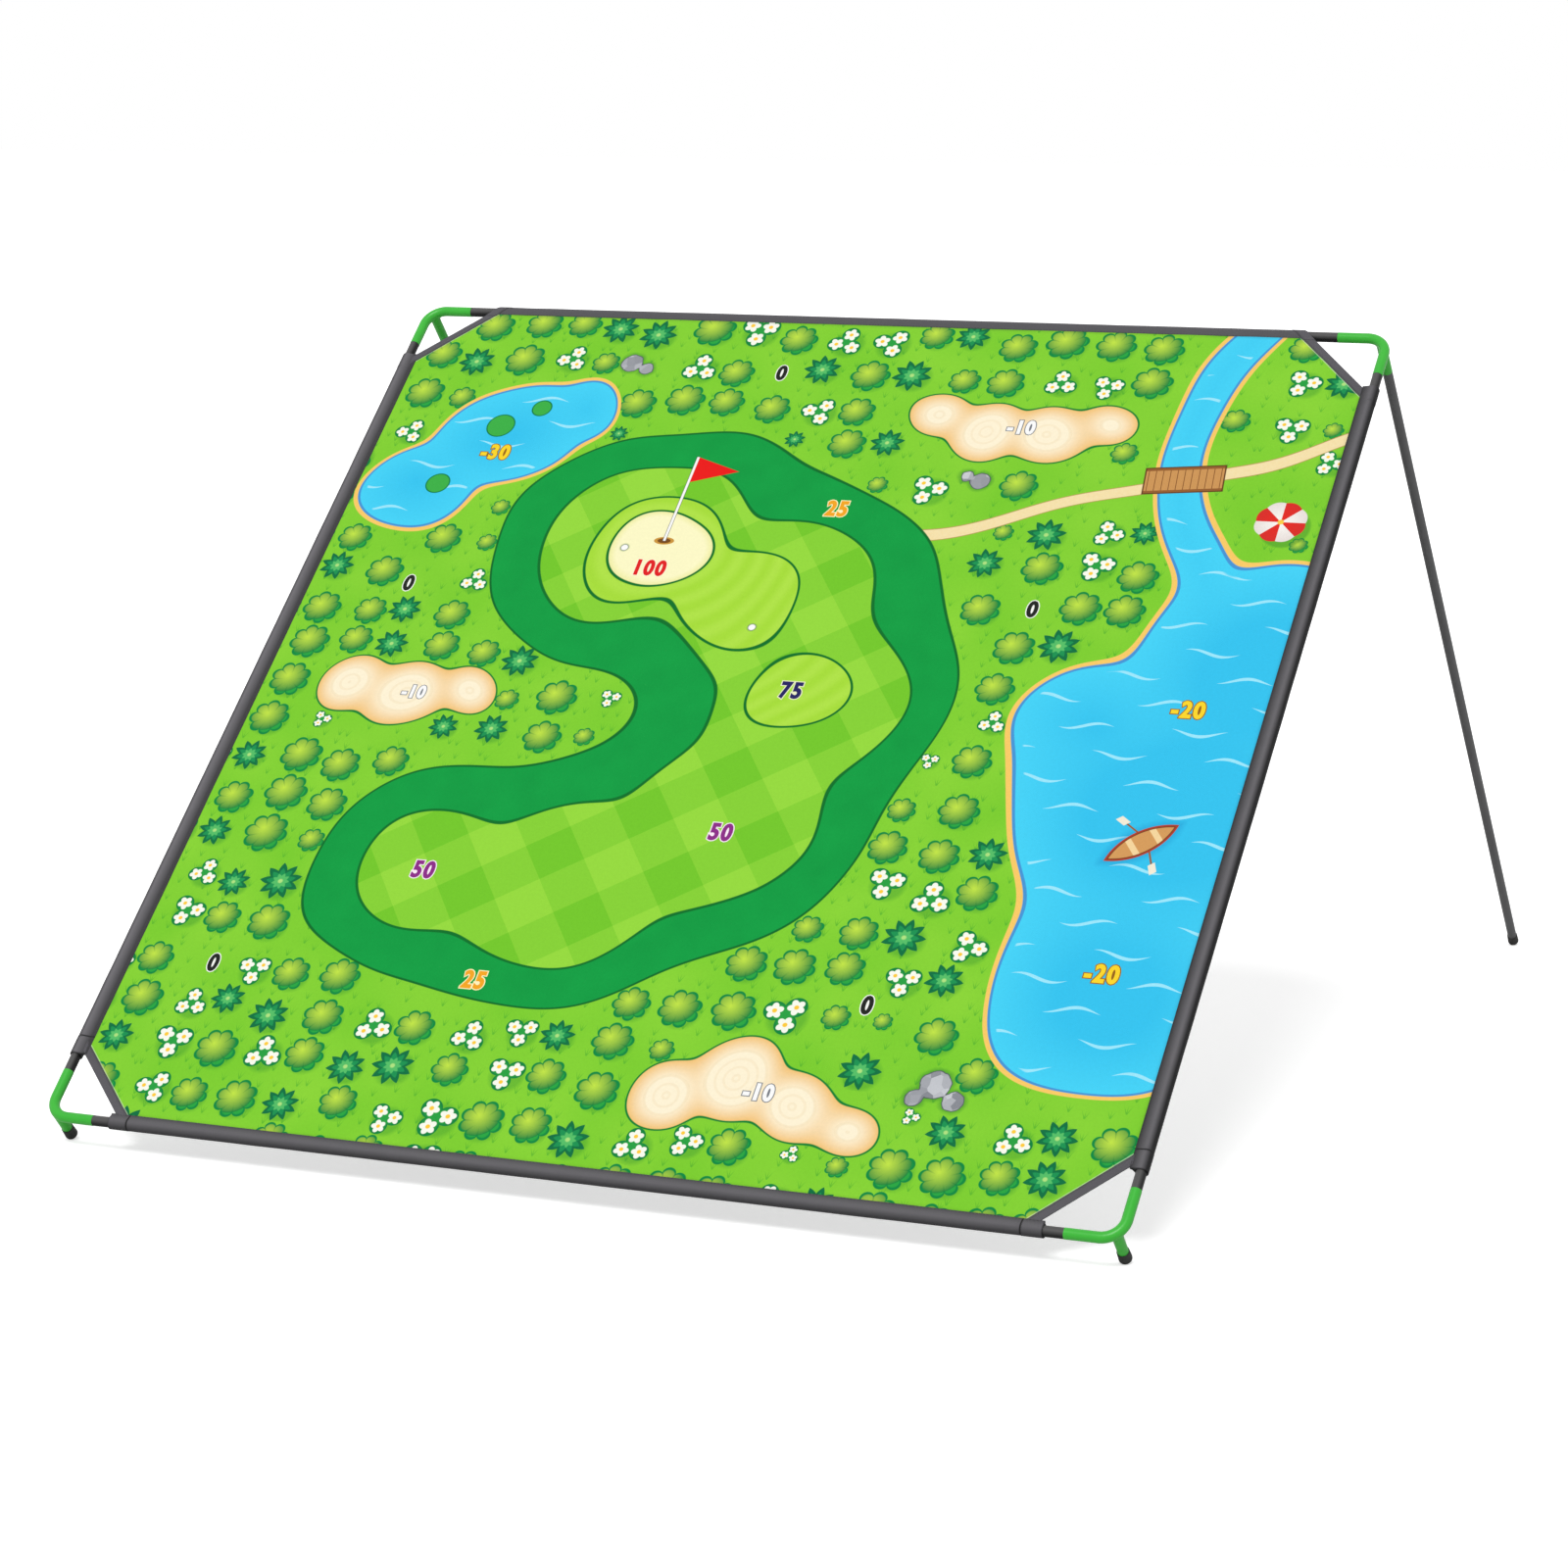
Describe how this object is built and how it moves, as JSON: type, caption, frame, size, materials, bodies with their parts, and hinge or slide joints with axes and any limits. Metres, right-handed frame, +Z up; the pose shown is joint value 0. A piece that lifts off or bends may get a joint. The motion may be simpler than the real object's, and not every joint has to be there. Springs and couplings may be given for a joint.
{
  "type": "golf chipping target",
  "caption": "Square printed cloth golf chipping target held flat in a sloping tube frame with corner connectors, long rear legs and short front feet.",
  "frame": {"origin": "on the ground, under the middle of the standing target's box", "axes": "+X to the player's right as they face the target, +Y back, away from the player, +Z up"},
  "size_m": [1.4044, 1.8958, 0.9728],
  "materials": {
    "green_coated_steel": "gloss green powder coat",
    "dark_coated_steel": "semi-gloss dark grey paint",
    "foot_rubber": "matt black rubber",
    "printed_cloth": "brushed polyester loop cloth, printed in greens, blue and sand",
    "sleeve_cloth": "dark grey woven polyester",
    "binding_tape": "grey woven tape"
  },
  "bodies": {
    "frame": {"connector_bottom_left": "green_coated_steel", "connector_bottom_right": "green_coated_steel", "connector_top_left": "green_coated_steel", "connector_top_right": "green_coated_steel", "bottom_tube_left": "dark_coated_steel", "bottom_tube_right": "dark_coated_steel", "top_tube_left": "dark_coated_steel", "top_tube_right": "dark_coated_steel", "left_tube_lower": "dark_coated_steel", "left_tube_upper": "dark_coated_steel", "right_tube_lower": "dark_coated_steel", "right_tube_upper": "dark_coated_steel", "front_foot_left": "foot_rubber", "front_foot_right": "foot_rubber", "target_sheet": "printed_cloth", "sleeve_bottom": "sleeve_cloth", "sleeve_top": "sleeve_cloth", "sleeve_left": "sleeve_cloth", "sleeve_right": "sleeve_cloth", "binding_bottom_left": "binding_tape", "binding_bottom_right": "binding_tape", "binding_top_left": "binding_tape", "binding_top_right": "binding_tape"},
    "left_leg_upper": {"rear_leg_upper_left": "dark_coated_steel"},
    "left_leg_lower": {"rear_leg_lower_left": "dark_coated_steel", "rear_foot_left": "foot_rubber"},
    "right_leg_upper": {"rear_leg_upper_right": "dark_coated_steel"},
    "right_leg_lower": {"rear_leg_lower_right": "dark_coated_steel", "rear_foot_right": "foot_rubber"}
  },
  "joints": [
    {"name": "left_leg_socket", "type": "slide", "parent": "frame", "child": "left_leg_upper", "axis": [0, 0.6673, -0.7448], "range_m": [0, 0.039]},
    {"name": "left_leg_splice", "type": "slide", "parent": "left_leg_upper", "child": "left_leg_lower", "axis": [0, 0.6673, -0.7448], "range_m": [0, 0.034]},
    {"name": "right_leg_socket", "type": "slide", "parent": "frame", "child": "right_leg_upper", "axis": [0, 0.6673, -0.7448], "range_m": [0, 0.039]},
    {"name": "right_leg_splice", "type": "slide", "parent": "right_leg_upper", "child": "right_leg_lower", "axis": [0, 0.6673, -0.7448], "range_m": [0, 0.034]}
  ]
}
